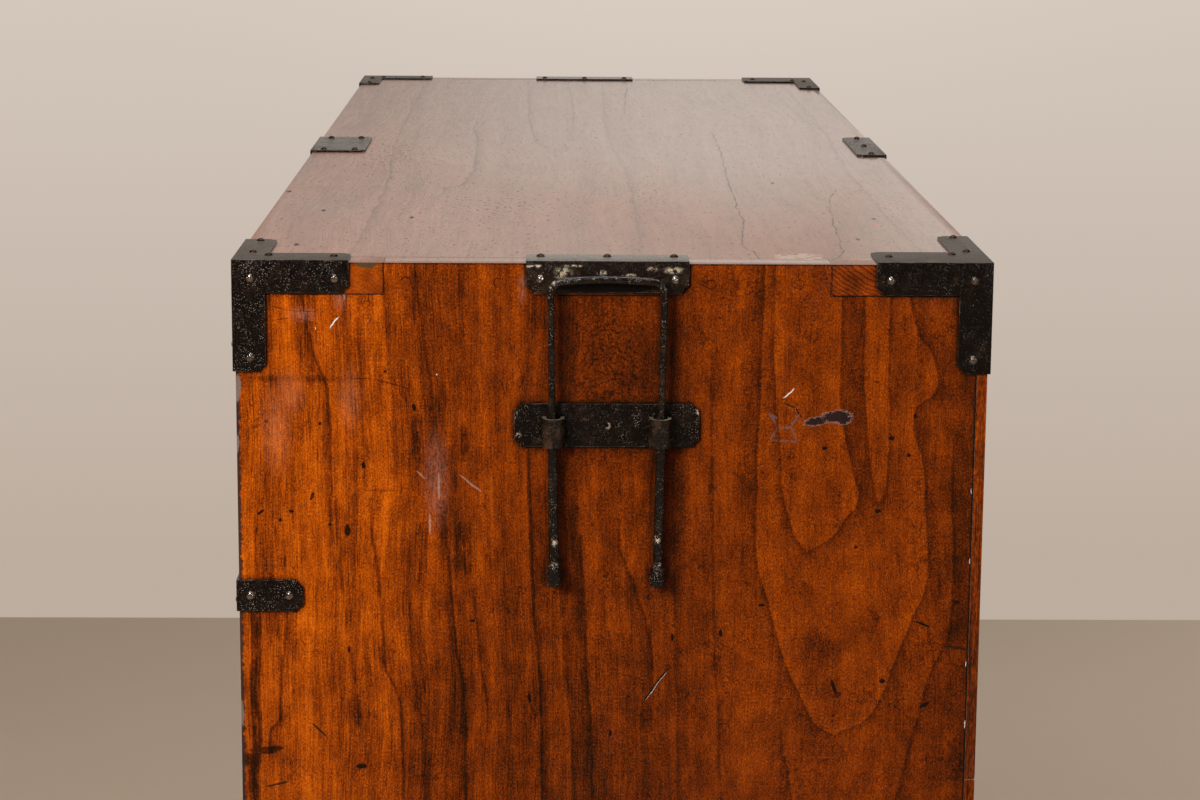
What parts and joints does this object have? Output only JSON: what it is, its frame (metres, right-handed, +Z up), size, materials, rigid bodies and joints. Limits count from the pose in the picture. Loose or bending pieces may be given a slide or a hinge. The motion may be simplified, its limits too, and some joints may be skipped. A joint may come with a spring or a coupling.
{
  "type": "tansu chest",
  "caption": "Low wide clothing chest of lacquered boards with stacked drawers, nailed black iron corners and a sliding carrying handle on each end.",
  "frame": {"origin": "at floor level, in the middle of the space that the chest fills, pulls and handles included", "axes": "+X along the chest to its right end, -Y out of the drawer fronts, +Z up"},
  "size_m": [1.237, 0.4393, 0.8716],
  "materials": {
    "end_wood": "orange-brown lacquer over straight grain, worn",
    "top_wood": "dark red-brown lacquer, semi-gloss, scratched",
    "front_wood": "brown lacquer, worn at the edges",
    "back_wood": "bare aged softwood",
    "inner_wood": "bare pale softwood",
    "peg_wood": "end grain of wooden pegs",
    "sheet_iron": "blackened pitted sheet iron",
    "forged_iron": "blackened forged iron, worn bright in places"
  },
  "bodies": {
    "carcass": {"right_end_board": "end_wood", "left_end_board": "end_wood", "top_board": "top_wood", "bottom_board": "end_wood", "back_boards": "back_wood", "drawer_rail_1": "front_wood", "drawer_rail_2": "front_wood", "drawer_rail_3": "front_wood", "dust_boards": "inner_wood", "corner_iron_front_right": "sheet_iron", "corner_iron_back_right": "sheet_iron", "corner_iron_front_left": "sheet_iron", "corner_iron_back_left": "sheet_iron", "base_corner_irons": "sheet_iron", "edge_iron_front": "sheet_iron", "edge_iron_back": "sheet_iron", "rail_straps_right": "sheet_iron", "rail_straps_left": "sheet_iron", "guide_plate_right": "sheet_iron", "guide_plate_left": "sheet_iron", "bar_iron_right": "sheet_iron", "bar_iron_left": "sheet_iron", "guide_loops_right": "forged_iron", "guide_loops_left": "forged_iron", "iron_nails": "forged_iron", "wooden_pegs": "peg_wood"},
    "handle_right": {"carrying_handle_right": "forged_iron"},
    "handle_left": {"carrying_handle_left": "forged_iron"},
    "drawer_1": {"drawer_1_front": "front_wood", "drawer_1_left_side": "inner_wood", "drawer_1_right_side": "inner_wood", "drawer_1_back": "inner_wood", "drawer_1_bottom": "inner_wood", "drawer_1_pull_eyes": "forged_iron"},
    "pull_1_left": {"drawer_1_left_pull": "forged_iron"},
    "pull_1_right": {"drawer_1_right_pull": "forged_iron"},
    "drawer_2": {"drawer_2_front": "front_wood", "drawer_2_left_side": "inner_wood", "drawer_2_right_side": "inner_wood", "drawer_2_back": "inner_wood", "drawer_2_bottom": "inner_wood", "drawer_2_pull_eyes": "forged_iron"},
    "pull_2_left": {"drawer_2_left_pull": "forged_iron"},
    "pull_2_right": {"drawer_2_right_pull": "forged_iron"},
    "drawer_3": {"drawer_3_front": "front_wood", "drawer_3_left_side": "inner_wood", "drawer_3_right_side": "inner_wood", "drawer_3_back": "inner_wood", "drawer_3_bottom": "inner_wood", "drawer_3_pull_eyes": "forged_iron"},
    "pull_3_left": {"drawer_3_left_pull": "forged_iron"},
    "pull_3_right": {"drawer_3_right_pull": "forged_iron"},
    "drawer_4": {"drawer_4_front": "front_wood", "drawer_4_left_side": "inner_wood", "drawer_4_right_side": "inner_wood", "drawer_4_back": "inner_wood", "drawer_4_bottom": "inner_wood", "drawer_4_pull_eyes": "forged_iron"},
    "pull_4_left": {"drawer_4_left_pull": "forged_iron"},
    "pull_4_right": {"drawer_4_right_pull": "forged_iron"}
  },
  "joints": [
    {"name": "handle_right_slide", "type": "slide", "parent": "carcass", "child": "handle_right", "axis": [0, 0, 1], "range_m": [-0.069, 0.068]},
    {"name": "handle_left_slide", "type": "slide", "parent": "carcass", "child": "handle_left", "axis": [0, 0, 1], "range_m": [-0.069, 0.068]},
    {"name": "drawer_1_slide", "type": "slide", "parent": "carcass", "child": "drawer_1", "axis": [0, -1, 0], "range_m": [0, 0.33]},
    {"name": "pull_1_left_hinge", "type": "hinge", "parent": "drawer_1", "child": "pull_1_left", "pos_m": [-0.33, -0.21445, 0.78155], "axis": [-1, 0, 0], "range_deg": [-6, 186]},
    {"name": "pull_1_right_hinge", "type": "hinge", "parent": "drawer_1", "child": "pull_1_right", "pos_m": [0.33, -0.21445, 0.78155], "axis": [-1, 0, 0], "range_deg": [-6, 186]},
    {"name": "drawer_2_slide", "type": "slide", "parent": "carcass", "child": "drawer_2", "axis": [0, -1, 0], "range_m": [0, 0.33]},
    {"name": "pull_2_left_hinge", "type": "hinge", "parent": "drawer_2", "child": "pull_2_left", "pos_m": [-0.33, -0.21445, 0.5843], "axis": [-1, 0, 0], "range_deg": [-6, 186]},
    {"name": "pull_2_right_hinge", "type": "hinge", "parent": "drawer_2", "child": "pull_2_right", "pos_m": [0.33, -0.21445, 0.5843], "axis": [-1, 0, 0], "range_deg": [-6, 186]},
    {"name": "drawer_3_slide", "type": "slide", "parent": "carcass", "child": "drawer_3", "axis": [0, -1, 0], "range_m": [0, 0.33]},
    {"name": "pull_3_left_hinge", "type": "hinge", "parent": "drawer_3", "child": "pull_3_left", "pos_m": [-0.33, -0.21445, 0.3658], "axis": [-1, 0, 0], "range_deg": [-6, 186]},
    {"name": "pull_3_right_hinge", "type": "hinge", "parent": "drawer_3", "child": "pull_3_right", "pos_m": [0.33, -0.21445, 0.3658], "axis": [-1, 0, 0], "range_deg": [-6, 186]},
    {"name": "drawer_4_slide", "type": "slide", "parent": "carcass", "child": "drawer_4", "axis": [0, -1, 0], "range_m": [0, 0.33]},
    {"name": "pull_4_left_hinge", "type": "hinge", "parent": "drawer_4", "child": "pull_4_left", "pos_m": [-0.33, -0.21445, 0.1373], "axis": [-1, 0, 0], "range_deg": [-6, 186]},
    {"name": "pull_4_right_hinge", "type": "hinge", "parent": "drawer_4", "child": "pull_4_right", "pos_m": [0.33, -0.21445, 0.1373], "axis": [-1, 0, 0], "range_deg": [-6, 186]}
  ]
}
